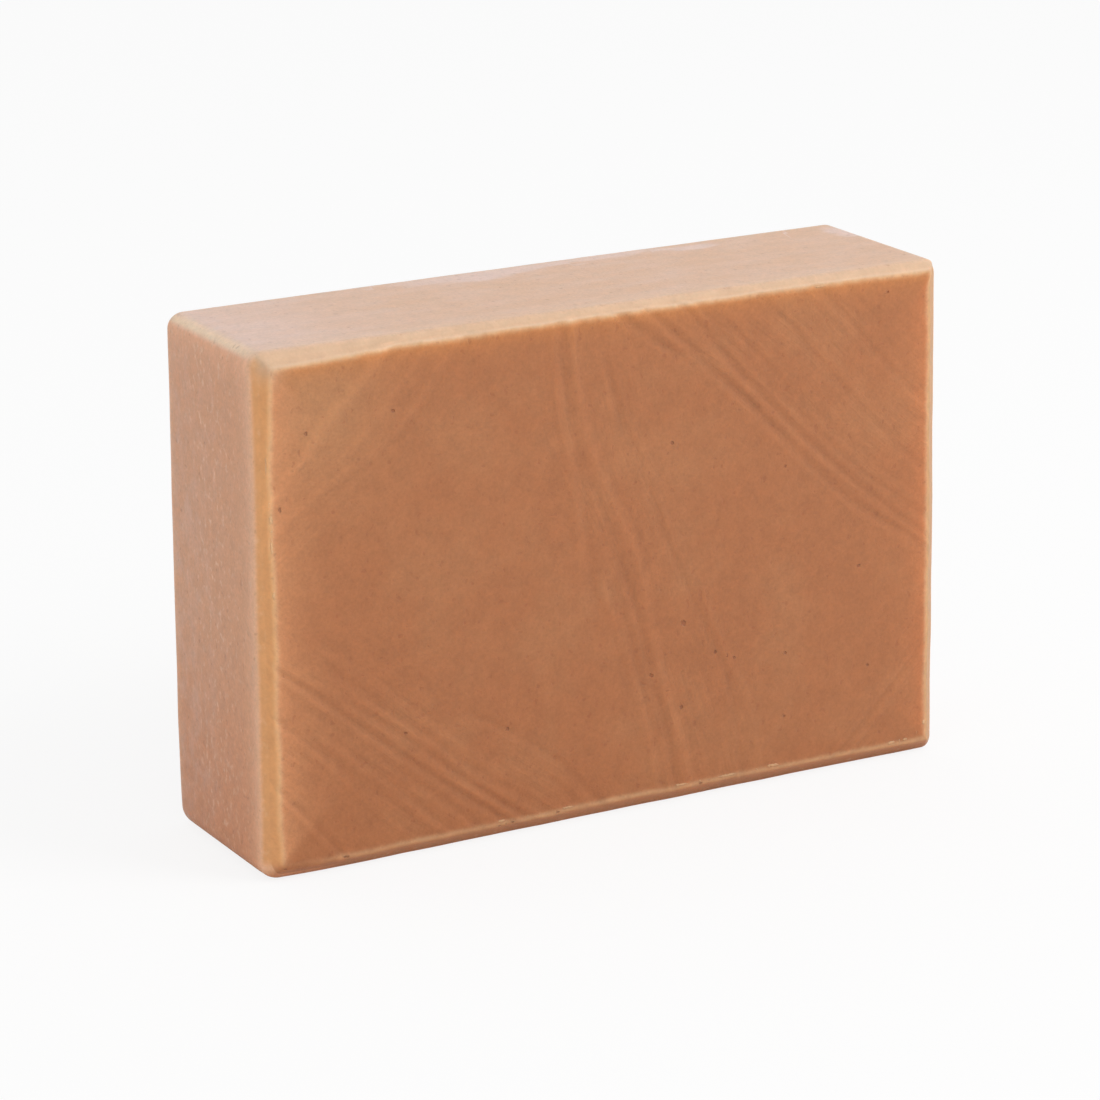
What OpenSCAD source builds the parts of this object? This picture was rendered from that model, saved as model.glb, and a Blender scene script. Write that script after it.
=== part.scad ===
// Bar of handmade soap, standing on one long narrow side.
// A slab poured in a mould was cut into bars with a wire, and the edges of both
// cut faces were then planed by hand.
// Millimetres. Origin at the middle of the foot, +X along the bar, -Y towards the
// near cut face, +Z up.

/* [Block] */
// Length of the bar along its top edge
bar_length = 87.6; // [60:0.1:120]
// Height of the bar as it stands
bar_height = 60; // [40:0.5:90]
// Thickness between the two cut faces
bar_thickness = 24.6; // [16:0.1:40]
// How far each end leans outwards at the foot, from the draft of the mould
end_draft = 0.4; // [0:0.1:2]

/* [Moulded corners] */
// Radius of the lower left corner
lower_left_radius = 1.8; // [0.5:0.1:6]
// Radius of the lower right corner
lower_right_radius = 1.4; // [0.5:0.1:6]
// Radius of the upper right corner
upper_right_radius = 1.6; // [0.5:0.1:6]
// Radius of the upper left corner
upper_left_radius = 1.8; // [0.5:0.1:6]

/* [Planed edges of the near face] */
// Left edge: width at the foot, where the two strokes meet, and at the top
near_left_bevel = [2.2, 1.3, 2.2]; // [0.4:0.1:3]
// Right edge: width at the foot, where the two strokes meet, and at the top
near_right_bevel = [2.1, 1.6, 1.9]; // [0.4:0.1:3]
// Top edge: width at the left, where the two strokes meet, and at the right
near_top_bevel = [1.6, 0.9, 1.1]; // [0.4:0.1:3]
// Foot edge: width at the left, where the two strokes meet, and at the right
near_foot_bevel = [2.0, 1.6, 2.1]; // [0.4:0.1:3]

/* [Planed edges of the far face] */
// Left edge, seen from the near side: width at the foot, the middle and the top
far_left_bevel = [1.3, 1.1, 1.5]; // [0.4:0.1:3]
// Right edge, seen from the near side: width at the foot, the middle and the top
far_right_bevel = [1.5, 1.2, 1.3]; // [0.4:0.1:3]
// Top edge: width at the left, the middle and the right
far_top_bevel = [1.6, 1.4, 1.4]; // [0.4:0.1:3]
// Foot edge: width at the left, the middle and the right
far_foot_bevel = [1.4, 1.2, 1.6]; // [0.4:0.1:3]

/* [Wire marks] */
// Depth of each groove that the cutting wire dragged across a cut face
mark_depth = 0.12; // [0.04:0.02:0.3]
// Width of each groove at the face
mark_width = 0.8; // [0.4:0.1:1.2]

/* [Air pits] */
// Radius of a burst air bubble at the face
pit_radius = 0.3; // [0.2:0.05:0.6]
// Depth of a burst air bubble
pit_depth = 0.2; // [0.1:0.05:0.4]

/* [Hidden] */

soap_colour = [0.70, 0.46, 0.31];

half_top = bar_length / 2;
half_foot = half_top + end_draft;
half_thickness = bar_thickness / 2;
lean = atan(end_draft / bar_height);

// Share of an edge at which the two strokes of the plane meet
stroke_meet = 0.45;
// Side of a block that is sure to reach past the bar
reach = 2 * max(bar_length, bar_height);
// How far a groove's cutter stands proud of the face that it cuts
proud = 0.5;
// How far a groove runs on past both ends of its chord
run_on = 2;
// Bow of a groove that looks straight
slight = 0.4;
corner_fn = 64;
sweep_fn = 1440;
pit_fn = 24;

// Grooves on the near face, in the order in which the wire met them.
// Each is its start and its end, as shares of the face's length and height from
// the lower left corner, and its bow in millimetres to the left of its run.
upper_left_marks = [
    [[0.00, 0.775], [0.195, 1.00], slight],
    [[0.00, 0.700], [0.254, 1.00], -1.3],
    [[0.00, 0.627], [0.301, 1.00], -1.3]
];
middle_marks = [
    [[0.410, 1.00], [0.506, 0.00], -1.4],
    [[0.424, 1.00], [0.557, 0.00], -0.6],
    [[0.437, 1.00], [0.609, 0.00], -0.6],
    [[0.472, 1.00], [0.711, 0.00], -0.8],
    [[0.501, 1.00], [0.745, 0.00], -0.8]
];
upper_right_marks = [
    [[0.523, 0.98], [1.00, 0.400], -slight],
    [[0.592, 1.00], [1.00, 0.432], -1.8],
    [[0.631, 1.00], [1.00, 0.480], -2.9],
    [[0.711, 1.00], [1.00, 0.532], -0.8],
    [[0.800, 1.00], [1.00, 0.642], 0.5],
    [[0.859, 1.00], [1.00, 0.758], slight],
    [[0.922, 1.00], [1.00, 0.867], slight]
];
lower_left_marks = [
    [[0.00, 0.208], [0.117, 0.00], slight],
    [[0.00, 0.343], [0.222, 0.00], slight],
    [[0.00, 0.363], [0.279, 0.00], slight],
    [[0.00, 0.390], [0.336, 0.00], -slight],
    [[0.00, 0.427], [0.375, 0.00], -slight],
    [[0.00, 0.477], [0.402, 0.00], -slight],
    [[0.00, 0.537], [0.427, 0.00], -0.5],
    [[0.00, 0.608], [0.495, 0.00], 0.5]
];
lower_right_marks = [
    [[0.842, 0.00], [1.00, 0.267], -slight],
    [[0.876, 0.00], [1.00, 0.208], -slight]
];
cut_marks = concat(upper_left_marks, middle_marks, upper_right_marks, lower_left_marks, lower_right_marks);

// Larger air pits on the near face, as shares of its length and height
air_pits = [
    [0.193, 0.247], [0.339, 0.217], [0.552, 0.268], [0.600, 0.362],
    [0.584, 0.720], [0.676, 0.273], [0.755, 0.263], [0.869, 0.413], [0.885, 0.207]
];

// Round corners of the block seen from the front, anticlockwise from the lower right:
// the side that each is on, the height of its centre and its radius
outline_corners = [
    [1, lower_right_radius, lower_right_radius],
    [1, bar_height - upper_right_radius, upper_right_radius],
    [-1, bar_height - upper_left_radius, upper_left_radius],
    [-1, lower_left_radius, lower_left_radius]
];

// Point of the near face, seen from the front, at a share of its length and height
function on_face(share) = [(share[0] - 0.5) * bar_length, share[1] * bar_height];
// Radius of the arc with this chord and bow
function arc_radius(chord, bow) = (chord * chord / 4 + bow * bow) / (2 * abs(bow));
// Centre of a round corner
function corner_centre(corner) =
    [corner[0] * (half_foot - corner[1] * tan(lean) - corner[2] / cos(lean)), corner[1]];
// Where a round corner meets the leaning end
function end_tangent(corner) =
    corner_centre(corner) + corner[2] * [corner[0] * cos(lean), sin(lean)];
// Where a round corner meets the foot or the top
function level_tangent(corner) =
    corner_centre(corner) + [0, corner[1] < bar_height / 2 ? -corner[2] : corner[2]];

// Outline of the block seen from the front: a slight taper with four round corners
module block_outline() {
    polygon([
        for (i = [0:3])
            for (turn = [0:1])
                (i + turn) % 2 == 0 ? level_tangent(outline_corners[i]) : end_tangent(outline_corners[i])
    ]);
    for (corner = outline_corners)
        translate(corner_centre(corner)) circle(corner[2], $fn = corner_fn);
}

// The poured and cut block, before its edges are planed
module block() {
    rotate([90, 0, 0])
        linear_extrude(bar_thickness, center = true)
            block_outline();
}

// What one stroke of the plane takes off an edge that runs up from the origin,
// with one face towards +X and the other towards +Y: a flat at 45 degrees, whose
// width is given at two heights
module plane_stroke(z0, width0, z1, width1) {
    slope = (width1 - width0) / (z1 - z0) / sqrt(2);
    rotate([0, 0, 45])
        translate([(width0 - (width1 - width0) / (z1 - z0) * z0) / sqrt(2), 0, 0])
            rotate([0, atan(slope), 0])
                translate([-reach, -reach / 2, -reach])
                    cube([reach, reach, 2 * reach]);
}

// Both strokes along one edge; widths are those at its start, its meeting and its end
module planed_edge(edge_length, widths) {
    meet = stroke_meet * edge_length;
    plane_stroke(0, widths[0], meet, widths[1]);
    plane_stroke(meet, widths[1], edge_length, widths[2]);
}

// Everything planed off the four edges of the face towards -Y
module planed_face(left, right, top, foot) {
    translate([-half_foot, -half_thickness, 0]) rotate([0, lean, 0])
        planed_edge(bar_height, left);
    mirror([1, 0, 0])
        translate([-half_foot, -half_thickness, 0]) rotate([0, lean, 0])
            planed_edge(bar_height, right);
    translate([-half_top, -half_thickness, bar_height]) rotate([0, 90, 0])
        planed_edge(bar_length, top);
    translate([0, 0, bar_height]) mirror([0, 0, 1])
        translate([-half_top, -half_thickness, bar_height]) rotate([0, 90, 0])
            planed_edge(bar_length, foot);
}

// Groove that the wire dragged in the face towards -Y, from start to end along an
// arc with the given bow, as a sharp-bottomed ring swept about the arc's centre
module wire_mark(start, end, bow) {
    run = end - start;
    chord = norm(run);
    radius = arc_radius(chord, bow);
    left_of_run = [-run[1], run[0]] / chord;
    centre = (start + end) / 2 + left_of_run * (bow - sign(bow) * radius);
    // Direction from the centre to the middle of the arc, and the angle swept
    middle = atan2(sign(bow) * left_of_run[1], sign(bow) * left_of_run[0]);
    swept = 2 * asin(chord / 2 / radius) + 2 * asin(run_on / radius);
    open_half = mark_width / 2 * (mark_depth + proud) / mark_depth;
    translate([centre[0], -half_thickness, centre[1]])
        rotate([90, 0, 0])
            rotate([0, 0, middle - swept / 2])
                rotate_extrude(angle = swept, $fn = sweep_fn)
                    polygon([
                        [radius, -mark_depth],
                        [radius + open_half, proud],
                        [radius - open_half, proud]
                    ]);
}

// Every groove on the face towards -Y
module wire_marks() {
    for (mark = cut_marks)
        wire_mark(on_face(mark[0]), on_face(mark[1]), mark[2]);
}

// Burst bubbles in the face towards -Y: the cap of a ball with the given rim and depth
module pits() {
    ball = (pit_radius * pit_radius + pit_depth * pit_depth) / (2 * pit_depth);
    for (pit = air_pits) {
        place = on_face(pit);
        translate([place[0], -half_thickness - ball + pit_depth, place[1]])
            sphere(ball, $fn = pit_fn);
    }
}

// Turns what is cut in the near face half round, to the far face. The far face was
// cut by the same wire on its next pass, so its marks are those of the near face.
module far_side() {
    translate([0, 0, bar_height]) rotate([180, 0, 0]) children();
}

// The block with its edges planed
module planed_block() {
    difference() {
        block();
        planed_face(near_left_bevel, near_right_bevel, near_top_bevel, near_foot_bevel);
        mirror([0, 1, 0])
            planed_face(far_left_bevel, far_right_bevel, far_top_bevel, far_foot_bevel);
    }
}

// The planed block with the wire's grooves in both cut faces
module grooved_block() {
    difference() {
        planed_block();
        wire_marks();
        far_side() wire_marks();
    }
}

// The finished bar
module soap_bar() {
    color(soap_colour)
        difference() {
            grooved_block();
            pits();
            far_side() pits();
        }
}

soap_bar();
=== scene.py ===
import math
from collections import namedtuple

import bmesh
import bpy
import numpy as np
from bpy.props import FloatProperty, FloatVectorProperty, PointerProperty
from bpy.types import Operator, Panel, PropertyGroup
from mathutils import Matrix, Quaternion, Vector, noise


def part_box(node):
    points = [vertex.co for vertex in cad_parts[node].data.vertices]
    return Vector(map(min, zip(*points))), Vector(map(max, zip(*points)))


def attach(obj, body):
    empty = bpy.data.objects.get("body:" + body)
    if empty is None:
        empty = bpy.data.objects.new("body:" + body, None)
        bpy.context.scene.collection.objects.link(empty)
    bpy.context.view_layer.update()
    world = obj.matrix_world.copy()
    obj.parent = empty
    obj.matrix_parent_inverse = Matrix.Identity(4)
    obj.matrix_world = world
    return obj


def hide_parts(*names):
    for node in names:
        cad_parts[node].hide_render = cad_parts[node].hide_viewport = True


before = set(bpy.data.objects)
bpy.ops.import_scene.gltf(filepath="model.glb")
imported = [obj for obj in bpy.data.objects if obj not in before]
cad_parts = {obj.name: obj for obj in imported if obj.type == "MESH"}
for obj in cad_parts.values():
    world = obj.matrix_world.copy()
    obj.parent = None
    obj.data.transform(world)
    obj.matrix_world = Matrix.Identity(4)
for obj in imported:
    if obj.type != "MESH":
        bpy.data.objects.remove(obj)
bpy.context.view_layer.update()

bl_info = {
    "name": "Handmade soap bar",
    "version": (1, 0, 0),
    "blender": (4, 5, 0),
    "location": "View3D > Sidebar > Soap",
    "description": "A wire-cut bar of soap with hand-planed edges, and the stage that it stands on",
    "category": "Mesh",
}

MM = 0.001
BAR_LOW, BAR_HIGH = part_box("soap_bar")
BAR_SIZE = (BAR_HIGH - BAR_LOW) / MM

# Size of the cut face on which the wire's grooves and the pits were laid out, in
# millimetres. Their places are given on it from its lower left corner.
LAYOUT_SIZE = (87.6, 60.0)

# Millimetres over which a side's values go over to the next side's at a corner
MITRE = 1.5
# How far the softer flats reach from the handled lower left corner
HANDLED_REACH = 6
# How far in from the outline the planed widths waver
WAVER_BAND = 4
# How far the rim's colour, a painted glow of light shining through the soap near its edges, reaches into a
# cut face from its left, right, top and foot, and into the poured faces from their near and far edges
CUT_RIM_GLOW_REACH = (2.5, 1.6, 1.1, 1.0)
NEAR_SKIN_GLOW_REACH = 1.8
FAR_SKIN_GLOW_REACH = 0.8

# One groove that the wire dragged across a cut face: the points that it runs through,
# its depth and its width. A ridge has a depth below zero. Most of the points were printed
# by a program that followed the lines in the photo, and were not chosen by hand.
Groove = namedtuple("Groove", "points depth width")

UPPER_LEFT = (
    Groove(((0.6, 43.3), (4.3, 47.1), (8.3, 51.7), (12.5, 55.9), (16.2, 59.9)), -0.30, 1.5),
    Groove(((0.2, 37.9), (5.6, 41.5), (11.3, 45.5), (17.7, 49.4), (22.0, 55.0), (26.1, 59.9)), 0.08, 1.1),
    Groove(((2.2, 40.7), (7.9, 44.6), (14.6, 48.1), (20.4, 53.7), (24.7, 59.2)), -0.16, 1.1),
    Groove(((9.0, 46.6), (11.8, 48.9), (16.9, 54.5), (21.2, 59.3)), -0.15, 1.0),
)
MIDDLE = (
    Groove(((37.2, 59.4), (37.5, 53.1), (38.5, 46.2), (39.7, 39.8), (40.4, 32.8), (41.0, 26.4)), 0.09, 1.4),
    Groove(((38.4, 59.4), (38.9, 52.0), (40.4, 44.7), (43.2, 37.7), (46.4, 30.4), (48.2, 22.5),
            (49.9, 15.2), (52.0, 8.0), (53.7, 0.8)), -0.15, 1.3),
    Groove(((41.8, 59.4), (43.0, 53.1), (44.9, 46.5), (47.7, 40.1), (49.9, 33.4), (53.0, 26.7),
            (55.9, 20.4), (58.7, 13.9), (60.1, 7.1), (61.0, 0.7)), 0.10, 0.9),
    Groove(((45.0, 51.9), (46.7, 45.7), (49.5, 39.8), (51.7, 33.8)), 0.035, 1.0),
    Groove(((55.8, 23.8), (57.8, 18.3), (60.7, 12.5), (62.0, 6.6), (62.8, 0.7)), -0.09, 1.0),
    Groove(((42.2, 27.1), (44.5, 21.1), (46.6, 14.4), (48.3, 8.1), (49.6, 1.9)), -0.10, 1.0),
    Groove(((43.2, 30.4), (45.1, 23.4), (47.1, 15.6), (48.7, 8.3), (50.0, 1.0)), 0.08, 0.8),
    Groove(((44.1, 30.8), (46.7, 23.7), (48.4, 15.9), (50.5, 8.7), (51.8, 1.3)), 0.11, 0.9),
    Groove(((36.0, 59.4), (36.3, 53.1), (37.3, 46.2), (38.5, 39.8), (39.3, 32.8)), -0.09, 1.2),
)
UPPER_RIGHT = (
    Groove(((43.8, 59.4), (48.9, 55.6), (55.2, 51.5), (60.7, 47.1), (66.0, 41.8), (70.9, 36.8),
            (76.2, 32.2), (82.5, 28.1), (87.8, 24.6)), 0.15, 0.9),
    Groove(((43.3, 58.8), (54.2, 50.1), (65.4, 41.2), (75.8, 31.7), (87.1, 23.4)), -0.04, 0.9),
    Groove(((47.5, 59.6), (50.8, 56.7), (54.4, 53.3), (58.0, 49.8), (61.2, 46.7)), 0.15, 0.9),
    Groove(((46.9, 58.9), (50.2, 56.1), (53.8, 52.7), (57.4, 49.2), (60.6, 46.1)), -0.10, 0.9),
    Groove(((47.8, 60.1), (51.2, 57.2), (55.0, 53.9), (58.7, 50.6), (62.0, 47.6)), -0.05, 0.8),
    Groove(((52.3, 59.4), (56.5, 54.7), (61.4, 49.0), (66.3, 44.0), (71.7, 38.8), (77.0, 34.1),
            (82.8, 29.5), (88.0, 25.6)), 0.13, 0.8),
    Groove(((51.1, 58.2), (59.4, 49.9), (68.2, 40.9), (78.1, 32.4), (87.5, 25.0)), -0.07, 0.8),
    Groove(((52.8, 60.0), (60.7, 51.0), (69.4, 42.2), (79.0, 33.4), (88.3, 26.1)), -0.05, 0.8),
    Groove(((53.3, 60.5), (61.3, 51.5), (69.9, 42.7), (75.8, 37.0), (81.8, 32.4), (88.6, 27.2)), 0.08, 0.8),
    Groove(((59.1, 55.6), (62.2, 52.4), (64.8, 49.6)), 0.15, 0.8),
    Groove(((59.6, 56.1), (61.0, 54.8), (62.7, 52.9), (65.4, 50.1)), -0.05, 0.8),
    Groove(((66.1, 47.8), (71.4, 43.3), (76.8, 38.1), (82.7, 33.6), (88.1, 29.3)), 0.06, 0.9),
    Groove(((62.1, 59.8), (66.2, 55.6), (70.4, 50.6), (74.8, 45.8), (79.1, 41.0), (83.9, 36.6),
            (88.4, 32.8)), 0.10, 0.9),
    Groove(((62.4, 60.1), (69.0, 53.3), (75.6, 46.4)), -0.07, 0.8),
    Groove(((70.2, 59.4), (73.5, 55.8), (77.1, 51.6), (80.6, 48.0), (84.5, 44.2), (88.1, 40.9)), 0.12, 0.9),
    Groove(((69.3, 58.5), (73.7, 54.0), (78.2, 49.2), (82.7, 44.5), (87.4, 40.1)), -0.06, 0.8),
    Groove(((74.9, 57.9), (78.7, 53.5), (81.4, 49.2), (87.9, 42.0)), 0.07, 0.8),
    Groove(((81.0, 60.0), (84.5, 55.0), (88.5, 49.6)), 0.06, 0.8),
    Groove(((66.5, 34.0), (70.0, 27.5), (73.9, 20.9)), 0.03, 1.1),
)
LOWER_LEFT = (
    Groove(((0.8, 25.4), (6.6, 20.7), (12.7, 15.5), (19.2, 10.1), (25.5, 5.2), (31.5, 0.8)), 0.20, 0.8),
    Groove(((0.0, 24.4), (7.0, 18.1), (16.0, 10.6), (21.7, 5.9), (27.2, 0.9)), 0.10, 0.8),
    Groove(((1.6, 26.3), (8.9, 20.3), (16.3, 13.5), (24.4, 7.0), (31.8, 1.3)), -0.08, 0.8),
    Groove(((10.9, 18.9), (15.3, 15.7), (20.3, 11.6), (24.9, 7.6), (30.0, 3.7), (34.4, 0.5)), 0.16, 0.8),
    Groove(((11.3, 19.4), (17.3, 15.0), (23.1, 10.1), (28.7, 5.4), (34.7, 1.0)), -0.08, 0.8),
    Groove(((8.7, 23.2), (14.4, 18.4), (20.2, 13.6), (26.4, 8.5), (32.4, 4.1), (38.5, -0.2)), 0.10, 0.8),
    Groove(((8.0, 25.1), (12.5, 21.2), (17.4, 17.0), (22.5, 12.9), (27.0, 8.9)), -0.05, 0.8),
    Groove(((8.8, 26.0), (13.3, 22.2), (18.2, 18.0), (23.1, 13.6), (27.8, 10.1)), 0.05, 0.8),
    Groove(((0.5, 19.8), (3.8, 17.0), (7.2, 14.0), (10.8, 10.5), (14.7, 7.4), (17.8, 4.2),
            (20.9, 1.0)), 0.08, 1.2),
    Groove(((0.0, 19.3), (4.9, 15.1), (10.1, 9.8), (15.3, 4.5), (19.7, -0.1)), -0.07, 0.8),
    Groove(((0.9, 20.3), (5.9, 16.4), (11.8, 11.6), (17.3, 6.4), (21.8, 1.8)), -0.07, 0.8),
    Groove(((7.6, 16.1), (10.6, 13.5), (13.9, 10.4), (18.8, 5.7), (24.3, 0.7)), 0.09, 0.8),
    Groove(((14.1, 11.6), (16.8, 9.3), (19.7, 6.7), (22.7, 4.1), (25.3, 1.9)), -0.05, 0.8),
    Groove(((0.3, 12.0), (2.6, 9.6), (5.2, 6.6), (8.0, 3.1), (10.2, 0.4)), 0.14, 0.8),
    Groove(((0.0, 11.4), (2.2, 9.2), (4.8, 6.2), (7.6, 2.7), (9.8, 0.1)), -0.12, 0.8),
    Groove(((26.5, 14.8), (31.1, 12.0), (35.5, 8.7), (39.3, 4.7), (42.9, 0.6)), 0.13, 1.0),
    Groove(((25.7, 13.8), (30.2, 10.8), (34.3, 7.3), (37.9, 3.3), (41.5, -0.7)), 0.07, 0.9),
)
LOWER_RIGHT = (
    Groove(((73.0, 1.4), (76.6, 4.7), (80.4, 8.5), (84.3, 12.4), (87.6, 16.1)), 0.13, 0.8),
    Groove(((73.5, 0.8), (77.2, 4.1), (81.0, 8.0), (84.7, 12.1), (87.9, 15.7)), -0.12, 0.8),
)
GROOVES = UPPER_LEFT + MIDDLE + UPPER_RIGHT + LOWER_LEFT + LOWER_RIGHT

# Where fine scratches run beside a groove: the groove, and how far to its right and to
# its left they reach
Scratches = namedtuple("Scratches", "guide right left")
SCRATCHED = (
    Scratches(UPPER_LEFT[2], 7.0, 10.0),
    Scratches(MIDDLE[1], 7.0, 12.0),
    Scratches(UPPER_RIGHT[0], 1.5, 30.0),
    Scratches(LOWER_LEFT[0], 14.0, 12.0),
    Scratches(LOWER_RIGHT[0], 4.0, 3.0),
)

# A mark on the bar: where it lies, and half its width and height
Mark = namedtuple("Mark", "x z wide high")

# The tan stain at the upper left and the worn corner above it: x runs from the middle of
# the bar and z from its foot
STAIN = Mark(-37.0, 54.0, 9.0, 11.0)
WORN_CORNER = Mark(-42.3, 58.8, 1.9, 1.6)

# Burst air bubbles, and nicks in the foot's planed flat
PITS = (
    Mark(52.7, 21.7, 0.34, 0.40), Mark(48.5, 16.1, 0.26, 0.26), Mark(52.4, 11.6, 0.22, 0.28),
    Mark(57.0, 17.5, 0.20, 0.20), Mark(59.5, 16.4, 0.18, 0.18), Mark(66.4, 15.8, 0.20, 0.22),
    Mark(76.4, 24.8, 0.26, 0.20), Mark(77.8, 12.4, 0.20, 0.20), Mark(51.3, 43.2, 0.20, 0.22),
    Mark(66.3, 38.3, 0.18, 0.18), Mark(29.8, 13.0, 0.20, 0.22), Mark(17.0, 14.8, 0.24, 0.22),
    Mark(5.8, 50.7, 0.22, 0.26), Mark(16.3, 51.8, 0.24, 0.20), Mark(2.5, 42.7, 0.20, 0.26),
    Mark(66.3, 8.1, 0.18, 0.18), Mark(80.0, 57.0, 0.22, 0.18), Mark(1.9, 1.4, 0.28, 0.18),
    Mark(9.4, 1.6, 0.36, 0.20), Mark(28.6, 1.6, 0.20, 0.16), Mark(30.3, 1.7, 0.20, 0.16),
    Mark(36.1, 1.8, 0.20, 0.18), Mark(55.0, 1.8, 0.26, 0.20),
)

# Pale flakes of soap that the plane left standing along the border of its flats
FLAKES = (
    Mark(1.35, 41.8, 0.22, 0.55), Mark(1.40, 38.6, 0.16, 0.90), Mark(1.45, 33.2, 0.20, 0.50),
    Mark(0.9, 47.8, 0.14, 1.20), Mark(64.8, 2.3, 0.75, 0.20), Mark(81.3, 2.1, 0.55, 0.18),
    Mark(83.2, 2.2, 0.30, 0.16), Mark(85.9, 3.9, 0.20, 0.30), Mark(28.9, 2.2, 0.45, 0.14),
    Mark(37.4, 2.2, 0.70, 0.12), Mark(58.6, 2.2, 1.30, 0.12), Mark(52.4, 2.2, 0.90, 0.12),
    Mark(70.9, 58.8, 0.70, 0.14),
)

# Streaks of ash on the poured top: x runs from the left end and z back from the near face
ASHES = (
    Mark(37.0, 21.6, 11.5, 3.8), Mark(55.0, 22.0, 9.0, 1.6), Mark(66.0, 20.6, 4.5, 1.4),
    Mark(85.5, 18.5, 2.4, 3.2), Mark(22.0, 23.0, 5.0, 1.0),
)

# Widths that the plane cut along each edge of the two cut faces, at even steps: uprights
# from the foot to the top, the top and foot edges from left to right
Planed = namedtuple("Planed", "left right top foot")
NEAR_EDGES = Planed(
    left=(2.2, 1.6, 1.6, 1.4, 1.55, 1.55, 1.35, 1.3, 1.5, 1.9),
    right=(1.7, 1.75, 1.7, 1.65, 1.65, 1.7, 1.75, 1.75, 1.8, 1.85),
    top=(1.7, 1.35, 1.0, 0.95, 0.9, 0.9, 0.9, 0.85, 0.9, 1.1),
    foot=(1.7, 1.5, 1.6, 1.7, 1.7, 1.7, 1.7, 1.75, 1.65, 1.55),
)
FAR_EDGES = Planed(
    left=(1.3, 1.2, 1.1, 1.2, 1.1, 1.2, 1.3, 1.4, 1.4, 1.5),
    right=(1.5, 1.4, 1.3, 1.2, 1.2, 1.1, 1.2, 1.3, 1.3, 1.3),
    top=(1.6, 1.5, 1.45, 1.4, 1.4, 1.4, 1.4, 1.4, 1.4, 1.4),
    foot=(1.4, 1.3, 1.3, 1.2, 1.3, 1.2, 1.4, 1.5, 1.5, 1.6),
)


def linear(red, green, blue):
    """An 8-bit display colour as the linear colour that a shader takes."""
    shares = (channel / 255 for channel in (red, green, blue))
    return tuple(s / 12.92 if s <= 0.04045 else ((s + 0.055) / 1.055) ** 2.4 for s in shares)


def colour_setting(name, description, *display):
    """A colour that a user may change, given by its 8-bit display values."""
    return FloatVectorProperty(
        name=name, description=description, subtype="COLOR", size=3, min=0.0, max=1.0,
        default=linear(*display))


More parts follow.
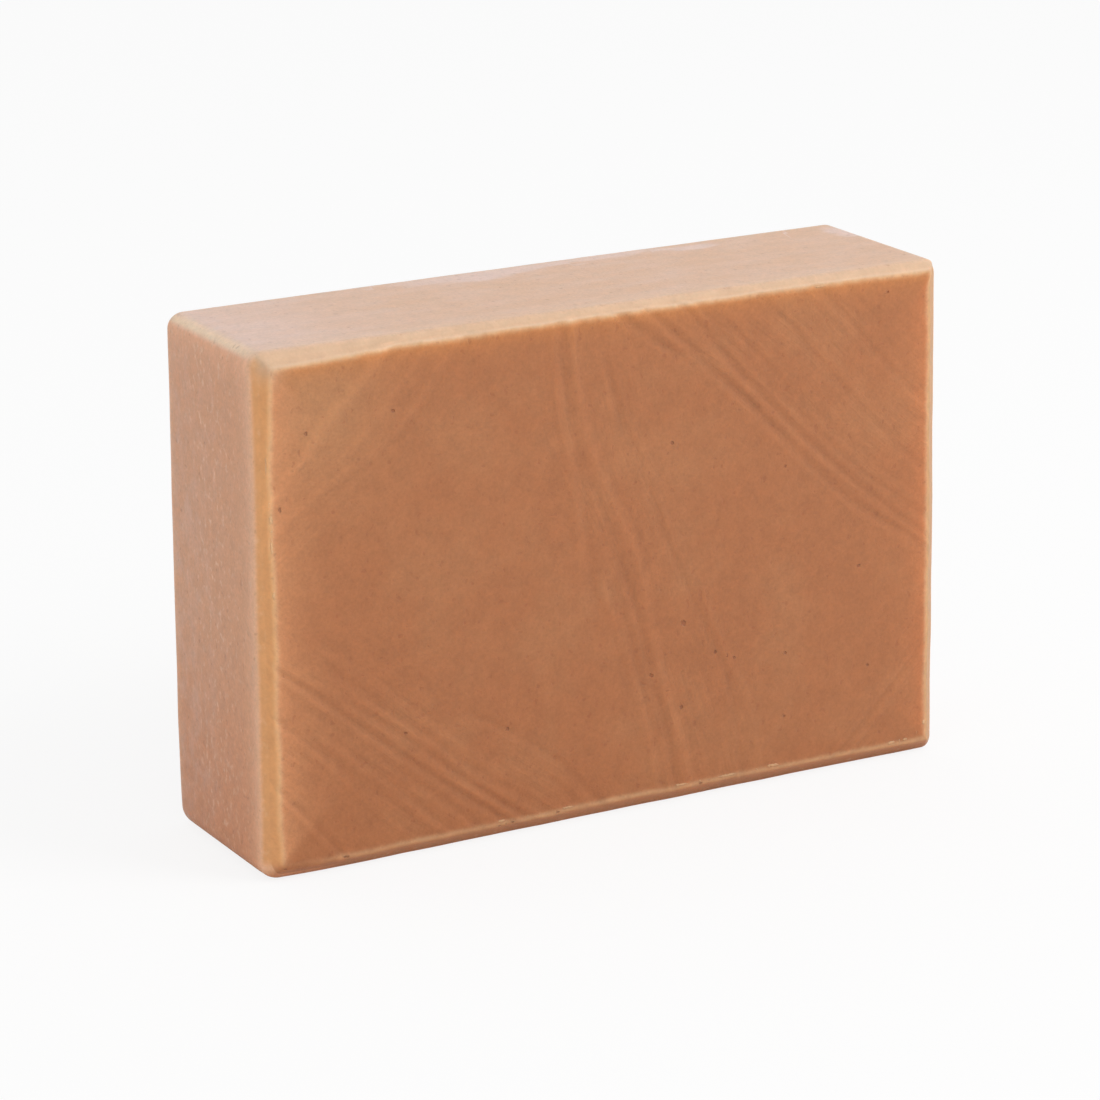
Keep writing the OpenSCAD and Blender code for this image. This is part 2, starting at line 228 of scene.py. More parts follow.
class SoapBarSettings(PropertyGroup):
    """Sizes in millimetres and colours of the bar that a user would change."""

    end_draft: FloatProperty(
        name="End draft", description="How far each end leans out at the foot",
        default=0.4, min=0.0, max=2.0)
    lower_left: FloatProperty(
        name="Lower left", description="Radius of the lower left corner",
        default=2.3, min=0.5, max=6.0)
    lower_right: FloatProperty(
        name="Lower right", description="Radius of the lower right corner",
        default=1.4, min=0.5, max=6.0)
    upper_right: FloatProperty(
        name="Upper right", description="Radius of the upper right corner",
        default=2.0, min=0.5, max=6.0)
    upper_left: FloatProperty(
        name="Upper left", description="Radius of the upper left corner",
        default=1.8, min=0.5, max=6.0)
    edge_softness: FloatProperty(
        name="Edge softness", description="How softly a planed flat meets its faces",
        default=0.3, min=0.05, max=1.0)
    handled: FloatProperty(
        name="Handled corner", description="How much softer the flats are at the lower left",
        default=0.5, min=0.0, max=2.0)
    waver: FloatProperty(
        name="Waver", description="How much the planed widths waver along an edge",
        default=0.12, min=0.0, max=0.5)
    wire_depth: FloatProperty(
        name="Wire depth", description="Share of their listed depth that the wire's grooves have",
        default=0.6, min=0.0, max=2.0)
    swell: FloatProperty(
        name="Swell", description="How far the faces swell and sink",
        default=0.06, min=0.0, max=0.5)
    fine_cell: FloatProperty(
        name="Fine cell", description="Mesh pitch next to the edges",
        default=0.25, min=0.1, max=1.0)
    face_cell: FloatProperty(
        name="Face cell", description="Mesh pitch over the cut faces",
        default=0.4, min=0.2, max=2.0)
    side_cell: FloatProperty(
        name="Side cell", description="Mesh pitch across the thickness",
        default=1.6, min=0.4, max=4.0)
    fresh: colour_setting("Fresh soap", "The freshly cut soap", 176, 110, 67)
    tan: colour_setting("Tan soap", "The yellower tone that the soap has in patches", 188, 131, 87)
    # The three rim colours are painted glow: light shining through the soap near the edges
    left_rim_glow: colour_setting("Left rim", "A cut face beside its left edge", 218, 149, 101)
    right_rim_glow: colour_setting("Right rim", "A cut face beside its right edge", 206, 124, 74)
    top_rim_glow: colour_setting("Top rim", "A cut face beside its top edge", 210, 134, 72)
    # Painted glow: the left flat is painted brighter for light shining through the soap near that edge
    left_flat_with_glow: colour_setting("Left flat", "The flats planed along the left edges", 235, 168, 108)
    right_flat: colour_setting("Right flat", "The flats planed along the right edges", 200, 148, 98)
    top_flat: colour_setting("Top flat", "The flats planed along the top edges", 221, 183, 149)
    foot_flat: colour_setting("Foot flat", "The flats planed along the foot", 190, 124, 76)
    # Partly pale dried soap and partly a painted highlight where a flat's edge catches the light
    line: colour_setting("Edge line", "The pale line where a flat meets a face", 238, 198, 150)
    skin: colour_setting("Skin", "The poured ends, which took their skin from the mould", 219, 157, 116)
    low_skin: colour_setting("Low skin", "The redder skin of the poured ends near the foot", 217, 147, 104)
    # Painted paler, partly for the poured top's ash and partly as a painted reflection of the white
    # surroundings, seen at a grazing angle
    top_skin_with_reflection: colour_setting("Top skin", "The poured top", 219, 175, 142)
    # The two skin rim colours are painted glow of light through the soap beside the planed edges
    skin_rim_glow: colour_setting("Skin rim", "The poured ends beside their planed edges", 249, 197, 159)
    top_skin_rim_glow: colour_setting("Top skin rim", "The poured top beside its planed edges", 227, 190, 159)
    # Painted light: a warm highlight just under the upper moulded corners and a highlight along them, where
    # light from above falls; the arris colour also paints the pale ash specks
    brow_highlight: colour_setting("Brow", "The poured ends just under their upper corners", 248, 186, 147)
    arris_highlight_and_pale_speck: colour_setting("Arris", "The pale moulded corners between the top and the ends", 255, 225, 193)
    ash: colour_setting("Ash", "The pale bloom on the poured faces", 227, 196, 183)
    # The speck colour also paints shade into the bottoms of the pits
    speck_and_pit_shade: colour_setting("Speck", "The dark specks and the bottoms of the pits", 128, 68, 42)


class SoapStageSettings(PropertyGroup):
    """The camera, lamps and floor."""

    camera_place: FloatVectorProperty(
        name="Camera", description="Where the camera stands", subtype="TRANSLATION", size=3,
        default=(-0.22575, -0.40724, 0.16979))
    camera_azimuth: FloatProperty(
        name="Azimuth", description="Direction that the camera looks from, round the bar",
        subtype="ANGLE", default=math.radians(-28.818))
    camera_elevation: FloatProperty(
        name="Elevation", description="Height of the camera above the horizon", subtype="ANGLE",
        default=math.radians(16.861))
    camera_roll: FloatProperty(
        name="Roll", description="Turn of the camera about its own line of sight", subtype="ANGLE",
        default=math.radians(-0.623))
    lens: FloatProperty(
        name="Lens", description="Focal length in millimetres on a 36 mm sensor", default=138.55)
    sky: FloatProperty(
        name="Sky", description="Strength of the white surroundings as a light", default=0.70)
    key: FloatProperty(
        name="Key", description="Power of the softbox at the upper right in watts", default=2.6)
    key_place: FloatVectorProperty(
        name="Key place", description="Where the softbox hangs", subtype="TRANSLATION", size=3,
        default=(0.42, -0.45, 0.52))
    key_size: FloatProperty(
        name="Key size", description="Side of the softbox", unit="LENGTH", default=0.35)
    floor_size: FloatProperty(
        name="Floor", description="Side of the floor", unit="LENGTH", default=12.0)
    floor_white: FloatProperty(
        name="Floor white", description="Share of plain white that the floor shows to the camera",
        default=0.85, min=0.0, max=1.0)


# Node helpers

def connect(tree, slot, value):
    """Links a wire to a node's input, or sets a plain value on it."""
    if isinstance(value, Wire):
        tree.links.new(value.socket, slot)
    else:
        slot.default_value = value


class Wire:
    """A node's output. Arithmetic on it adds Math nodes."""

    def __init__(self, tree, socket):
        self.tree = tree
        self.socket = socket

    def maths(self, operation, *values):
        node = self.tree.nodes.new("ShaderNodeMath")
        node.operation = operation
        for slot, value in zip(node.inputs, values):
            connect(self.tree, slot, value)
        return Wire(self.tree, node.outputs[0])

    def __add__(self, other):
        return self.maths("ADD", self, other)

    def __radd__(self, other):
        return self.maths("ADD", other, self)

    def __sub__(self, other):
        return self.maths("SUBTRACT", self, other)

    def __rsub__(self, other):
        return self.maths("SUBTRACT", other, self)

    def __mul__(self, other):
        return self.maths("MULTIPLY", self, other)

    def __rmul__(self, other):
        return self.maths("MULTIPLY", other, self)

    def __truediv__(self, other):
        return self.maths("DIVIDE", self, other)

    def above_zero(self):
        return self.maths("MAXIMUM", self, 0.0)

    def exp(self):
        return self.maths("EXPONENT", self)


class Recipe:
    """Builds one node tree."""

    def __init__(self, tree):
        self.tree = tree
        tree.nodes.clear()

    def node(self, kind, settings=None, inputs=None, output=0):
        """Adds a node, sets it up, joins its inputs and gives one of its outputs."""
        made = self.tree.nodes.new(kind)
        for name, value in (settings or {}).items():
            setattr(made, name, value)
        for name, value in (inputs or {}).items():
            connect(self.tree, made.inputs[name], value)
        return Wire(self.tree, made.outputs[output])

    def finish(self, kind, surface):
        """Joins a shader to the tree's output node, which is of this kind."""
        self.tree.links.new(surface.socket, self.tree.nodes.new(kind).inputs["Surface"])

    def stretched(self, place, amounts):
        """A place with each axis scaled by its own amount."""
        return self.node("ShaderNodeVectorMath", {"operation": "MULTIPLY"}, {0: place, 1: amounts})

    def cloud(self, place, scale, detail=2.0, roughness=0.5):
        """Noise from 0 to 1 about 0.5, with features about 1 / scale across."""
        return self.node("ShaderNodeTexNoise", {}, {
            "Vector": place, "Scale": scale, "Detail": detail, "Roughness": roughness})

    def step(self, value, low, high):
        """0 where the value is below low, 1 where it is above high, smooth between."""
        return self.node("ShaderNodeMapRange", {"interpolation_type": "SMOOTHSTEP"}, {
            "Value": value, "From Min": low, "From Max": high})

    def bell(self, value, width):
        """1 where the value is 0, fading over a width on both sides."""
        return (value * value * (-1 / width ** 2)).exp()

    def spot(self, x, z, mark):
        """1 at the middle of a mark, fading over its half sizes."""
        return self.bell(x - mark.x, mark.wide) * self.bell(z - mark.z, mark.high)

    def blend(self, share, first, second, how="MIX"):
        """The first colour, going over to the second by a share."""
        return self.node("ShaderNodeMix", {"data_type": "RGBA", "blend_type": how}, {
            0: share, 6: first, 7: second}, output=2)

    def grey(self, value):
        """A value as a grey colour."""
        return self.node("ShaderNodeCombineColor", {}, {0: value, 1: value, 2: value})

    def stored(self, name, output="Fac"):
        """A value or colour stored on the mesh."""
        return self.node("ShaderNodeAttribute", {"attribute_name": name}, {}, output)


def opaque(colour):
    return (*colour, 1.0)


# The bar's shape

def smooth_excess(excess, softness):
    """How far to move a point that stands proud by excess, with the turn rounded."""
    turn = (excess + softness) ** 2 / (4 * softness)
    return np.where(excess > softness, excess, np.where(excess < -softness, 0.0, turn))


def wander(values, wavelength, seed):
    """Smooth noise from -1 to 1 along a line, the same each run."""
    stops = np.linspace(values.min(), values.max(), 400)
    heights = [noise.noise(Vector((stop / wavelength, seed, 0.5))) for stop in stops]
    return np.interp(values, stops, heights)


def wander_over(points, wavelength, seed):
    """Smooth noise from -1 to 1 through space, the same each run."""
    shift = Vector((seed, 2 * seed, 3 * seed))
    return np.array([noise.noise(Vector(point) / wavelength + shift) for point in points])


def smooth_path(points, run_on):
    """A polyline that runs smoothly through the points, and straight on past both ends."""
    points = np.array(points)
    knots = np.vstack((2 * points[0] - points[1], points, 2 * points[-1] - points[-2]))
    share = np.linspace(0, 1, 5, endpoint=False)[:, None]
    pieces = [
        b + 0.5 * ((c - a) * share + (2 * a - 5 * b + 4 * c - d) * share ** 2
                   + (3 * b - a - 3 * c + d) * share ** 3)
        for a, b, c, d in zip(knots, knots[1:], knots[2:], knots[3:])
    ]
    path = np.vstack((*pieces, points[-1:]))
    head, tail = path[0] - path[1], path[-1] - path[-2]
    before = path[0] + head / np.hypot(*head) * run_on
    after = path[-1] + tail / np.hypot(*tail) * run_on
    return np.vstack((before, path, after))


def beside(places, path):
    """How far each place lies to the left of a path, how far along it, and the path's length."""
    start, run = path[:-1], np.diff(path, axis=0)
    length = np.hypot(*run.T)
    forward = run / length[:, None]
    gap = places[:, None] - start
    along = np.clip((gap * forward).sum(2), 0, length)
    miss = gap - along[..., None] * forward
    far = np.hypot(miss[..., 0], miss[..., 1])
    nearest = far.argmin(1)
    row = np.arange(len(places))
    side = forward[nearest, 0] * gap[row, nearest, 1] - forward[nearest, 1] * gap[row, nearest, 0]
    travelled = np.concatenate(([0.0], np.cumsum(length)))
    return np.copysign(far[row, nearest], side), travelled[nearest] + along[row, nearest], travelled[-1]


def groove_relief(places, grooves):
    """How far the wire sinks a cut face at places on its layout."""
    run_on = 3.0
    # How high a groove's two lips stand, how much its depth varies, and over what length
    lips, variation, wavelength = 0.6, 0.6, 5.0
    relief = np.zeros(len(places))
    for number, groove in enumerate(grooves):
        path = smooth_path(groove.points, run_on)
        margin = 2 * groove.width
        inside = (places > path.min(0) - margin) & (places < path.max(0) + margin)
        near = np.flatnonzero(inside.all(1))
        aside, along, whole = beside(places[near], path)
        rate = aside / (0.5 * groove.width)
        shape = (1 - lips * rate ** 2) * np.exp(-rate ** 2 / 2)
        strength = 1 + variation * wander(along, wavelength, 3.0 * number)
        fade = np.clip(np.minimum(along, whole - along) / run_on, 0, 1)
        relief[near] += groove.depth * shape * strength * fade
    return relief


def scratch_lanes(places):
    """For fine scratches: how far across and along a bundle each place lies, and how plain they are."""
    # How far a guide is carried on past its ends, and how far apart two bundles' lanes lie
    run_on, spacing = 40.0, 50
    across, run, inside = np.empty((3, len(SCRATCHED), len(places)))
    for number, bundle in enumerate(SCRATCHED):
        aside, along, _ = beside(places, smooth_path(bundle.guide.points, run_on))
        across[number] = aside + spacing * number
        run[number] = along
        inside[number] = np.where(aside > 0, 1 - aside / bundle.left, 1 + aside / bundle.right)
    best = inside.argmax(0)
    row = np.arange(len(places))
    second, first = np.sort(inside, axis=0)[-2:]
    # None at a bundle's rim, nor where two bundles meet, because the lanes jump there
    from_rim, from_next = 1.8, 8
    plain = np.clip(first * from_rim, 0, 1) * np.clip((first - second) * from_next, 0, 1)
    return across[best, row], run[best, row], plain


def nearest_mark(places, marks):
    """Where each place lies from the nearest mark, in shares of that mark's half sizes."""
    middles = [(mark.x, mark.z) for mark in marks]
    halves = [(mark.wide, mark.high) for mark in marks]
    gaps = (places[:, None] - middles) / halves
    nearest = np.hypot(gaps[..., 0], gaps[..., 1]).argmin(1)
    return gaps[np.arange(len(places)), nearest].T


def by_side(sides, left, right, top, foot):
    """The value or colour of the side that each place is beside, changing smoothly at the corners."""
    level, on_right, on_top = sides
    upright = np.where(on_right, right, left)
    lying = np.where(on_top, top, foot)
    return upright + (lying - upright) * level


def cage(bar):
    """A box of fine cells, finer next to the edges, as a bmesh and its points in millimetres."""
    size = np.array(BAR_SIZE)
    size[0] -= 2 * bar.end_draft
    edge_cells = 10
    margin = edge_cells * bar.fine_cell
    pitch = (bar.face_cell, bar.side_cell, bar.face_cell)
    mesh = bmesh.new()
    bmesh.ops.create_cube(mesh, size=2.0)
    cells = [2 * edge_cells + round((size[axis] - 2 * margin) / pitch[axis]) for axis in range(3)]
    for axis in range(3):
        along = [
            edge for edge in mesh.edges
            if abs(edge.verts[0].co[axis] - edge.verts[1].co[axis]) > 1.0
        ]
        bmesh.ops.subdivide_edges(mesh, edges=along, cuts=cells[axis] - 1, use_grid_fill=True)
    points = np.array([vert.co for vert in mesh.verts])
    for axis in range(3):
        step = (points[:, axis] + 1) / 2 * cells[axis]
        stops = (0, edge_cells, cells[axis] - edge_cells, cells[axis])
        points[:, axis] = np.interp(step, stops, (0, margin, size[axis] - margin, size[axis]))
    points[:, :2] -= size[:2] / 2
    return mesh, points, size


def moulded_outline(bar, x, z, size):
    """Rounds the four corners and leans the ends; also gives what the planing and the finish follow."""
    length, _, height = size
    half_length = length / 2
    radius = np.where(
        z > height / 2,
        np.where(x > 0, bar.upper_right, bar.upper_left),
        np.where(x > 0, bar.lower_right, bar.lower_left))
    centre_x = np.clip(x, radius - half_length, half_length - radius)
    centre_z = np.clip(z, radius, height - radius)
    off_x, off_z = x - centre_x, z - centre_z
    square = np.maximum(np.abs(off_x), np.abs(off_z))
    reach = np.hypot(off_x, off_z)
    corner = np.minimum(np.abs(off_x), np.abs(off_z)) > 1e-6
    pull = np.where(corner, square / np.maximum(reach, 1e-6), 1)
    x, z = centre_x + off_x * pull, centre_z + off_z * pull

    # Distance in from the outline, its outward direction, and how level the outline runs
    to_end, to_top, to_foot = half_length - np.abs(x), height - z, z
    to_level = np.minimum(to_top, to_foot)
    inset = np.where(corner, radius - square, np.minimum(to_end, to_level))
    level = np.clip(0.5 + (to_end - to_level) / MITRE, 0, 1)
    out_x = np.where(corner, off_x / np.maximum(reach, 1e-6), np.where(level > 0.5, 0, np.sign(x)))
    out_z = np.where(corner, off_z / np.maximum(reach, 1e-6), np.where(
        level > 0.5, np.where(to_top < to_foot, 1, -1), 0))

    # How far round from the middle of the nearest moulded corner, up or inwards above zero
    half_arc = radius * math.pi / 4
    swung = np.arctan2(np.abs(off_z), np.abs(off_x)) / (math.pi / 4) - 1
    past = np.where(level > 0.5, half_length - radius - np.abs(x), to_level - radius)
    turn = np.where(corner, swung * half_arc, np.where(level > 0.5, 1, -1) * (half_arc + past))
    lean = bar.end_draft * (1 - z / height)
    return x * (1 + lean / half_length), z, inset, level, out_x, out_z, turn


def soap_points(bar, points, size):
    """Moves the box's points to the bar's surface; also gives the values that its finish follows."""
    length, thickness, height = size
    half_length, half_thickness = length / 2, thickness / 2
    flat_x, y, flat_z = points.T.copy()
    x, z, inset, level, out_x, out_z, turn = moulded_outline(bar, flat_x, flat_z, size)
    near, far = y < 1e-4 - half_thickness, y > half_thickness - 1e-4
    facing = np.where(y < 0, 1, -1)
    depth = half_thickness - np.abs(y)

    # The wire's grooves, on the far face turned half round, and a faint swell
    scale = np.array(LAYOUT_SIZE) / (length, height)
    layout = np.stack((x + half_length, np.where(far, height - z, z)), 1) * scale
    cut = near | far
    relief = np.zeros(len(x))
    relief[cut] = bar.wire_depth * groove_relief(layout[cut], GROOVES)
    sunk = relief + bar.swell * wander_over(np.stack((x, y, z), 1), 14.0, 4.0)
    crest = -sunk[cut].min()
    # Less of it within the planed edges, or the cut face would fold over the rim of its sides
    y += np.where(cut, facing * (sunk + crest) * np.clip(inset, 0, 1), 0)

    # The planed edges, cut as much wider as the faces lie deeper than their crests
    sides = level[:, None], x[:, None] > 0, z[:, None] > height / 2
    share_x, share_z = np.clip(x / length + 0.5, 0, 1), np.clip(z / height, 0, 1)
    across, flat = np.empty(len(x)), np.empty(len(x))
    for side, edges in ((1, NEAR_EDGES), (-1, FAR_EDGES)):
        here = facing == side
        width = crest + by_side(sides, *(
            np.interp(share, np.linspace(0, 1, len(widths)), widths)[:, None]
            for share, widths in zip((share_z, share_z, share_x, share_x), edges)))[here, 0]
        close = inset[here] < WAVER_BAND
        rim = np.stack((x, z, 0 * x), 1)[here][close]
        width[close] += bar.waver * (wander_over(rim, 6.0, 5 + side) + 0.15 * wander_over(rim, 1.6, 9 + side))
        slack = width - (half_thickness + facing * y)[here] - inset[here]
        from_corner = np.hypot(x + half_length, z)[here]
        softness = bar.edge_softness + bar.handled * np.exp(-(from_corner / HANDLED_REACH) ** 2)
        move = smooth_excess(slack / math.sqrt(2), softness) / math.sqrt(2)
        y[here] += side * move
        x[here] -= out_x[here] * move
        z[here] -= out_z[here] * move
        half = width / math.sqrt(2)
        face_side = np.where(inset[here] < width, inset[here] / math.sqrt(2), inset[here] - width + half)
        mould_side = np.where(depth[here] < width, depth[here] / math.sqrt(2), depth[here] - width + half)
        across[here] = np.where(cut[here], -face_side, mould_side)
        flat[here] = half

    # What the finish follows
    lane, along, plain = np.zeros((3, len(x)))
    lane[cut], along[cut], plain[cut] = scratch_lanes(layout[cut])
    plain *= np.clip(inset - 0.5, 0, 1)
    pit_x, pit_z = nearest_mark(layout, PITS)
    flake_x, flake_z = nearest_mark(layout, FLAKES)
    ash_x, ash_z = nearest_mark(np.stack((x + half_length, y + half_thickness), 1), ASHES)
    cut_rim_glow = by_side(sides, bar.left_rim_glow, bar.right_rim_glow, bar.top_rim_glow, bar.fresh)
    skin_rim_glow = by_side(sides, bar.skin_rim_glow, bar.skin_rim_glow, bar.top_skin_rim_glow, bar.low_skin)
    cut_glow_reach = by_side(sides, *CUT_RIM_GLOW_REACH)[:, 0]
    skin_glow_reach = np.where(y < 0, NEAR_SKIN_GLOW_REACH, FAR_SKIN_GLOW_REACH)
    values = {
        "across": across, "flat": flat, "turn": turn, "relief": relief,
        "lane": lane, "along": along, "scratched": plain,
        "pit_x": pit_x, "pit_z": pit_z, "flake_x": flake_x, "flake_z": flake_z,
        "ash_x": ash_x, "ash_z": ash_z,
        "flat_colour": by_side(sides, bar.left_flat_with_glow, bar.right_flat, bar.top_flat, bar.foot_flat),
        "rim_glow_colour": np.where(cut[:, None], cut_rim_glow, skin_rim_glow),
        "rim_glow_reach": np.where(cut, cut_glow_reach, skin_glow_reach),
    }
    return np.stack((x, y, z), 1), values


def soap_mesh(bar):
    """The finished bar as a mesh, with the values that its finish follows."""
    made, points, size = cage(bar)
    shaped, values = soap_points(bar, points, size)
    for vert, point in zip(made.verts, shaped):
        vert.co = point * MM
    bmesh.ops.recalc_face_normals(made, faces=made.faces[:])
    mesh = bpy.data.meshes.new("soap")
    made.to_mesh(mesh)
    made.free()
    for name, value in values.items():
        if value.ndim == 1:
            stored = mesh.attributes.new(name, "FLOAT", "POINT")
            stored.data.foreach_set("value", value.astype(np.float32))
        else:
            stored = mesh.attributes.new(name, "FLOAT_COLOR", "POINT")
            stored.data.foreach_set("color", np.insert(value, 3, 1, axis=1).ravel())
    mesh.shade_smooth()
    return mesh


# The bar's finish

def mark_mask(recipe, x_name, z_name, ragged):
    """1 inside a named mark with a ragged outline, given by its two stored offsets."""
    x, z = recipe.stored(x_name), recipe.stored(z_name)
    edge = x.maths("SQRT", x * x + z * z) + (ragged - 0.5) * 1.6
    return 1 - recipe.step(edge, 0.5, 1.15)


def soap_finish(bar):
    """Wax-like soap: fresh on its cut faces, planed at its edges, with a skin on its poured faces."""
    material = bpy.data.materials.new("soap")
    material.use_nodes = True
    recipe = Recipe(material.node_tree)
    place = recipe.node("ShaderNodeTexCoord", output="Object")
    place = recipe.node("ShaderNodeVectorMath", {"operation": "SCALE"}, {0: place, "Scale": 1 / MM})
    length_wise, depth, height = (
        recipe.node("ShaderNodeSeparateXYZ", {}, {0: place}, output=axis) for axis in range(3))
    across, flat = recipe.stored("across"), recipe.stored("flat")
    mottle = recipe.cloud(place, 0.55, 4.0, 0.6)
    grain = recipe.cloud(place, 2.6, 3.0, 0.65)
    ragged = recipe.cloud(place, 3.0, 2.0, 0.6)

    # Where the planed flats run: crisp towards the cut faces, worn soft towards the poured ones
    cut_side = 1 - recipe.step(across, -0.1, 0.1)
    worn = across * 1.3 - flat
    planed_to = across + flat + (recipe.cloud(place, 0.8, 3.0, 0.6) - 0.5) * 0.35
    planed = recipe.step(planed_to, -0.2, 0.25) * (1 - recipe.step(worn, -0.5, 0.4))
    # The foot's flat fades out towards the handled lower left corner
    handled = (1 - recipe.step(length_wise, -41.0, -32.0)) * (1 - recipe.step(height, 1.6, 2.8))
    planed = planed * (1 - handled * 0.7)
    gap = (across * -1 - flat).above_zero() + worn.above_zero()
    # Painted glow: the rim colour stands in for light shining through the soap near its edges
    rim = (gap / recipe.stored("rim_glow_reach") * -1).exp() * 0.9
    border = recipe.bell(planed_to, 0.35) * (0.4 + recipe.cloud(place, 0.3, 2.0, 0.5) * 0.6) * (1 - handled)

    # The cut soap: its tan patches, the stain at the upper left, fine scratches, and painted shade in the
    # grooves with a painted highlight on the ridges
    patches = recipe.cloud(place, 0.08, 3.0, 0.6)
    soap = recipe.blend(recipe.step(patches, 0.42, 0.66) * 0.25, opaque(bar.fresh), opaque(bar.tan))
    soap = recipe.blend(recipe.spot(length_wise, height, STAIN) * 0.9, soap, opaque(bar.tan))
    lanes = recipe.node("ShaderNodeCombineXYZ", {}, {
        0: recipe.stored("lane") * 1.2, 1: recipe.stored("along") * 0.08})
    broken = recipe.step(recipe.cloud(place, 0.16, 3.0, 0.6), 0.38, 0.62)
    scratches = (recipe.cloud(lanes, 1.0, 3.0, 0.65) - 0.5) * recipe.stored("scratched") * broken
    # Painted shade and highlight: grooves are darkened and ridges lightened by their relief
    soap_tone_with_groove_shade = scratches * 0.35 - recipe.stored("relief") * 0.6
    soap_tone_with_groove_shade = soap_tone_with_groove_shade + recipe.step(length_wise, 15.0, 44.0) * 0.03

    # The skin of the poured faces, with its ash, and its pale upper arrises, which are a painted highlight,
    # with a painted warm highlight just under them
    drawn = recipe.cloud(recipe.stretched(place, (0.45, 0.45, 0.3)), 1.0, 5.0, 0.65)
    laid = recipe.cloud(recipe.stretched(place, (0.12, 0.4, 0.4)), 1.0, 3.0, 0.5)
    on_top = recipe.step(height, BAR_SIZE.z - 1.4, BAR_SIZE.z - 0.3)
    skin = recipe.blend(1 - recipe.step(height, 4.0, 30.0), opaque(bar.skin), opaque(bar.low_skin))
    skin = recipe.blend(on_top, skin, opaque(bar.top_skin_with_reflection))
    bloom = (0.13 + recipe.step(drawn, 0.35, 0.8) * 0.5) * (0.1 + recipe.step(depth, -8.0, 10.0) * 0.55)
    ash = recipe.step(laid, 0.3, 0.8) * 0.35 + (1 - recipe.step(length_wise, -44.0, -18.0)) * 0.6
    ash = ash.maths("MAXIMUM", ash, mark_mask(recipe, "ash_x", "ash_z", laid) * 0.9)
    bloom = bloom + on_top * (ash - bloom)
    skin = recipe.blend(bloom, skin, opaque(bar.ash))
    turn = recipe.stored("turn")
    upper = recipe.step(height, BAR_SIZE.z / 2, BAR_SIZE.z - 5)
    # Painted warm highlight just under the upper corners, then a painted highlight along them
    below = (turn.maths("MINIMUM", turn + 0.6, 0.0) / 1.6).exp() * (1 - recipe.step(turn, -0.1, 1.0))
    skin = recipe.blend(below * upper * 0.85, skin, opaque(bar.brow_highlight))
    upper_corner_highlight = recipe.step(turn, -0.8, 0.0) * (1 - recipe.step(turn, 0.1, 1.5))
    skin = recipe.blend(upper_corner_highlight * upper * 0.9, skin, opaque(bar.arris_highlight_and_pale_speck))

    # Both beside the planed edges, where the rim colour is a painted glow of light through the soap, then the
    # flats, their pale borders and the flakes along them
    colour = recipe.blend(rim, recipe.blend(cut_side, skin, soap), recipe.stored("rim_glow_colour", "Color"))
    colour = recipe.blend(planed * 0.95, colour, recipe.stored("flat_colour", "Color"))
    # The band along the foot next to the floor, where the planed flat is painted in shade and has no pale
    # line
    under = 1 - recipe.step(height, 0.3, 1.6)
    # The pale border line: partly pale soap, partly a painted highlight where the edge catches the light
    colour = recipe.blend(border * (1 - on_top) * (1 - under) * 0.5, colour, opaque(bar.line))
    flake = mark_mask(recipe, "flake_x", "flake_z", ragged) * cut_side
    colour = recipe.blend(flake * 0.5, colour, opaque(bar.line))
    worn_corner = recipe.spot(length_wise, height, WORN_CORNER)
    worn_corner = worn_corner * (1 - recipe.step(depth, -11.5, -10.0))
    colour = recipe.blend(worn_corner * 0.75, colour, opaque(bar.top_flat))

    # Specks, and pits whose bottoms are painted dark as painted shade
    dark = recipe.step(recipe.cloud(place, 1.3, 2.0, 0.5), 0.61, 0.77) * (1 - planed * 0.7)
    pale = recipe.step(recipe.cloud(recipe.stretched(place, (1.5, 1.5, 1.1)), 1.0, 2.0, 0.5), 0.54, 0.74)
    pale = pale * (1 - cut_side) * (1 - on_top) * (0.12 + recipe.bell(depth, 5.0) * 0.22)
    pit = mark_mask(recipe, "pit_x", "pit_z", ragged) * cut_side
    # Dark specks, and painted shade in the pits
    colour = recipe.blend(dark * 0.3 + pit * 0.45, colour, opaque(bar.speck_and_pit_shade))
    colour = recipe.blend(pale, colour, opaque(bar.arris_highlight_and_pale_speck))

    # Random mottle and grain, and painted light from above: the tone grows lighter towards the top of the bar
    tone = 0.90 + (mottle - 0.5) * 0.28 + (grain - 0.5) * (0.38 - planed * 0.2) + height * (0.05 / BAR_SIZE.z)
    # Painted shade: the planed flats darken along the foot, next to the floor
    tone = tone + soap_tone_with_groove_shade * cut_side - under * planed * 0.12
    colour = recipe.blend(1.0, colour, recipe.grey(tone), "MULTIPLY")

    bumps = grain * 0.03 + mottle * 0.03 + scratches * 0.09
    bumps = bumps - dark * 0.03 - pit * 0.12 + flake * 0.08 + pale * 0.02
    normal = recipe.node("ShaderNodeBump", {}, {"Strength": 1.0, "Distance": MM, "Height": bumps})
    rough = 0.42 + (mottle - 0.5) * 0.12
    shader = recipe.node("ShaderNodeBsdfPrincipled", {"subsurface_method": "BURLEY"}, {
        "Base Color": colour, "Roughness": rough, "Normal": normal, "IOR": 1.45,
        "Subsurface Weight": 0.3, "Subsurface Radius": (1.0, 0.35, 0.15), "Subsurface Scale": 0.6 * MM})
    recipe.finish("ShaderNodeOutputMaterial", shader)
    return material


def floor_finish(brightness):
    """A matte floor that shows near white to the camera and keeps its shadow."""
    material = bpy.data.materials.new("floor")
    material.use_nodes = True
    recipe = Recipe(material.node_tree)
    matte = recipe.node("ShaderNodeBsdfDiffuse", {}, {"Color": opaque((0.92, 0.92, 0.92))})
    white = recipe.node("ShaderNodeEmission", {}, {"Color": opaque((1.0, 1.0, 1.0)), "Strength": 1.0})
    seen = recipe.node("ShaderNodeLightPath", output="Is Camera Ray")
    recipe.finish("ShaderNodeOutputMaterial", recipe.node(
        "ShaderNodeMixShader", {}, {0: seen * brightness, 1: matte, 2: white}))
    return material


# The stage

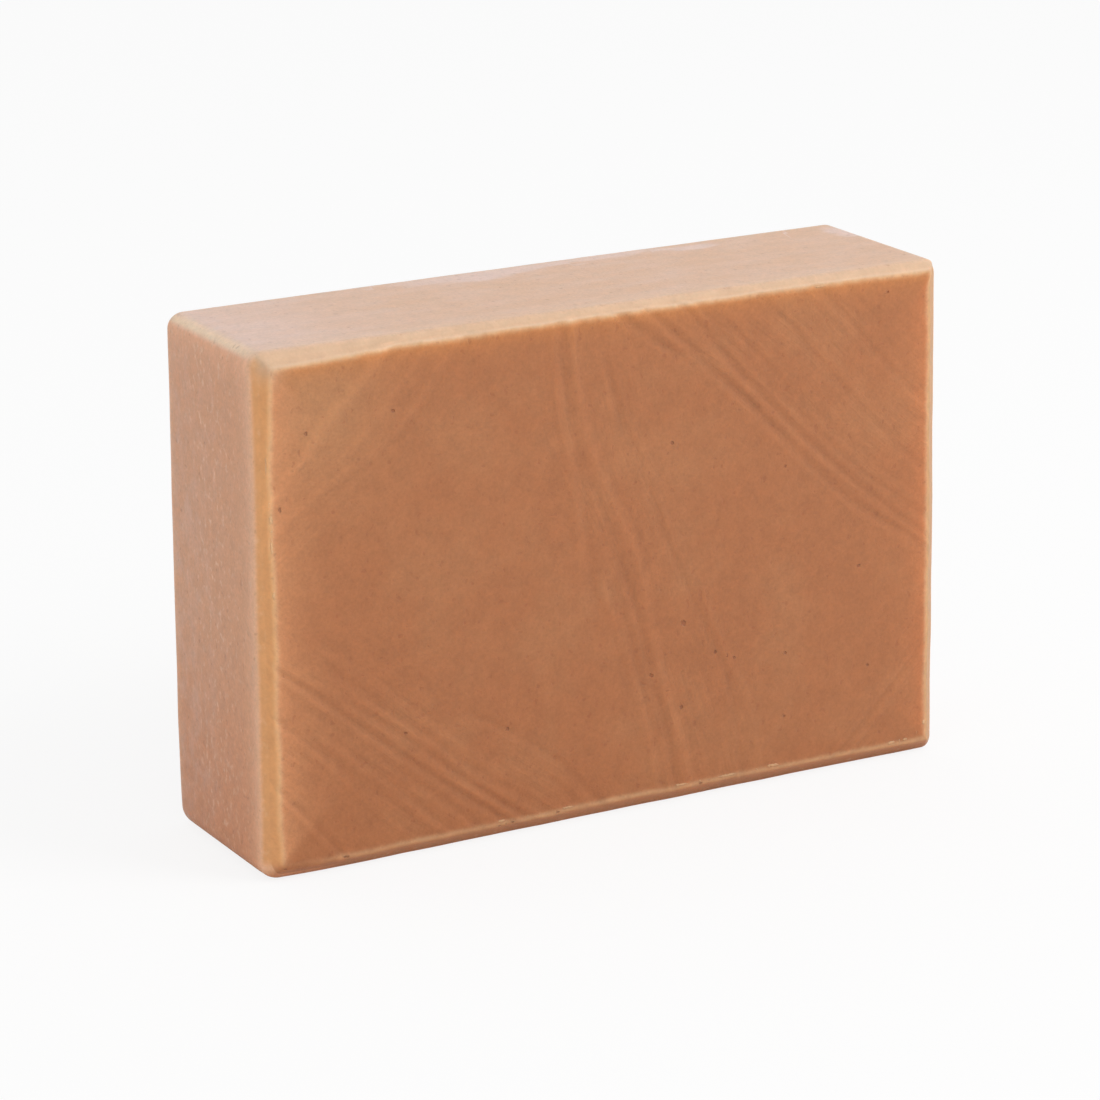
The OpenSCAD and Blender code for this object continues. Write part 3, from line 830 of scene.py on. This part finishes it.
def white_surroundings(strength):
    """A white world: full white to the camera and in reflections, softer as a light."""
    world = bpy.data.worlds.new("surroundings")
    world.use_nodes = True
    bpy.context.scene.world = world
    recipe = Recipe(world.node_tree)
    camera = recipe.node("ShaderNodeLightPath", output="Is Camera Ray")
    glossy = recipe.node("ShaderNodeLightPath", output="Is Glossy Ray")
    through = recipe.node("ShaderNodeLightPath", output="Is Transmission Ray")
    seen = camera.maths("MAXIMUM", camera.maths("MAXIMUM", camera, glossy), through)
    background = recipe.node("ShaderNodeBackground", {}, {
        "Color": opaque((1.0, 1.0, 1.0)), "Strength": strength + seen * (1 - strength)})
    recipe.finish("ShaderNodeOutputWorld", background)


def softbox(name, place, target, side, power):
    """A square soft lamp that looks at a target and isn't seen by the camera."""
    light = bpy.data.lights.new(name, "AREA")
    light.size = side
    light.energy = power
    lamp = bpy.data.objects.new(name, light)
    lamp.location = place
    lamp.rotation_mode = "QUATERNION"
    lamp.rotation_quaternion = (Vector(target) - Vector(place)).to_track_quat("-Z", "Y")
    lamp.visible_camera = False
    bpy.context.scene.collection.objects.link(lamp)


class SOAP_OT_bar(Operator):
    """Make the bar of soap in place of its plain solid"""

    bl_idname = "soap.bar"
    bl_label = "Soap bar"

    def execute(self, context):
        bar = context.scene.soap_bar
        piece = bpy.data.objects.new("soap", soap_mesh(bar))
        context.scene.collection.objects.link(piece)
        piece.data.materials.append(soap_finish(bar))
        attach(piece, "root")
        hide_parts("soap_bar")
        return {"FINISHED"}


class SOAP_OT_stage(Operator):
    """Make the floor, the white surroundings, the lamps and the camera"""

    bl_idname = "soap.stage"
    bl_label = "Stage"

    def execute(self, context):
        stage = context.scene.soap_stage
        shape = bmesh.new()
        bmesh.ops.create_grid(shape, x_segments=1, y_segments=1, size=stage.floor_size / 2)
        mesh = bpy.data.meshes.new("floor")
        shape.to_mesh(mesh)
        shape.free()
        mesh.materials.append(floor_finish(stage.floor_white))
        floor = bpy.data.objects.new("floor", mesh)
        context.scene.collection.objects.link(floor)

        white_surroundings(stage.sky)
        middle = (BAR_LOW + BAR_HIGH) / 2
        softbox("key", stage.key_place, middle, stage.key_size, stage.key)

        camera = bpy.data.cameras.new("camera")
        camera.lens = stage.lens
        camera.sensor_width = 36.0
        camera.clip_start = 0.01
        camera.clip_end = 50.0
        seat = bpy.data.objects.new("camera", camera)
        azimuth, elevation = stage.camera_azimuth, stage.camera_elevation
        back = Vector((
            math.sin(azimuth) * math.cos(elevation),
            -math.cos(azimuth) * math.cos(elevation),
            math.sin(elevation),
        ))
        seat.location = stage.camera_place
        seat.rotation_mode = "QUATERNION"
        aim = (-back).to_track_quat("-Z", "Y")
        seat.rotation_quaternion = aim @ Quaternion((0.0, 0.0, 1.0), stage.camera_roll)
        context.scene.collection.objects.link(seat)
        context.scene.camera = seat
        context.scene.view_settings.view_transform = "Standard"
        return {"FINISHED"}


class SOAP_PT_panel(Panel):
    """The bar and its stage"""

    bl_idname = "SOAP_PT_panel"
    bl_label = "Handmade soap bar"
    bl_space_type = "VIEW_3D"
    bl_region_type = "UI"
    bl_category = "Soap"

    def draw(self, context):
        for settings, operator in (
            (context.scene.soap_bar, SOAP_OT_bar),
            (context.scene.soap_stage, SOAP_OT_stage),
        ):
            box = self.layout.box()
            for name in settings.__annotations__:
                box.prop(settings, name)
            box.operator(operator.bl_idname)


CLASSES = (SoapBarSettings, SoapStageSettings, SOAP_OT_bar, SOAP_OT_stage, SOAP_PT_panel)


def register():
    for entry in CLASSES:
        bpy.utils.register_class(entry)
    bpy.types.Scene.soap_bar = PointerProperty(type=SoapBarSettings)
    bpy.types.Scene.soap_stage = PointerProperty(type=SoapStageSettings)


def unregister():
    del bpy.types.Scene.soap_stage
    del bpy.types.Scene.soap_bar
    for entry in reversed(CLASSES):
        bpy.utils.unregister_class(entry)


def main():
    register()
    bpy.ops.soap.bar()
    bpy.ops.soap.stage()


if __name__ == "__main__":
    main()
